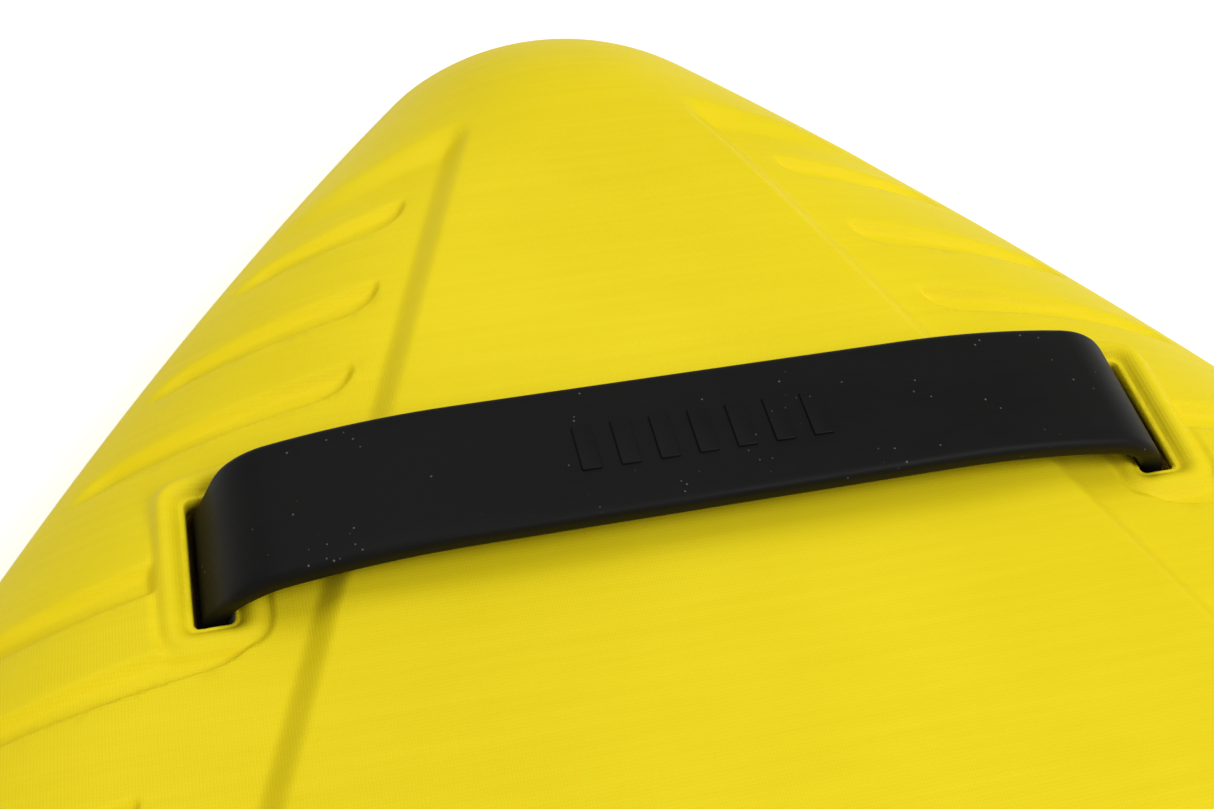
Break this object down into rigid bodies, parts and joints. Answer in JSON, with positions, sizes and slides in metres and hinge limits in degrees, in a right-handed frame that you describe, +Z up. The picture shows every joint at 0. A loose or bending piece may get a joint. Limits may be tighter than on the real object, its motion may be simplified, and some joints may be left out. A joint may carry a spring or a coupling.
{
  "type": "hand-strap swim board",
  "caption": "Compact delta-shaped foam swim float with a raised crown, grooved side panels and a rubber hand strap through two slots.",
  "frame": {"origin": "bottom centre of the whole part, on the flat underside", "axes": "+Y towards the nose, +Z up out of the crown, +X to the right of a swimmer behind the tail"},
  "size_m": [0.28, 0.32, 0.0414],
  "materials": {
    "knit_skin": "fine knit, satin",
    "core_foam": "cut closed-cell foam, matte",
    "strap_rubber": "moulded, matte",
    "anchor_plastic": "moulded, satin"
  },
  "bodies": {
    "board": {"foam_core": "core_foam", "top_skin": "knit_skin", "bottom_skin": "knit_skin", "anchor_plate_left": "anchor_plastic", "anchor_plate_right": "anchor_plastic"},
    "strap": {"hand_strap": "strap_rubber", "anchor_bar_left": "anchor_plastic", "anchor_bar_right": "anchor_plastic"}
  },
  "joints": [
    {"name": "strap_lift", "type": "slide", "parent": "board", "child": "strap", "axis": [0, 0, 1], "range_m": [0, 0.005]}
  ]
}
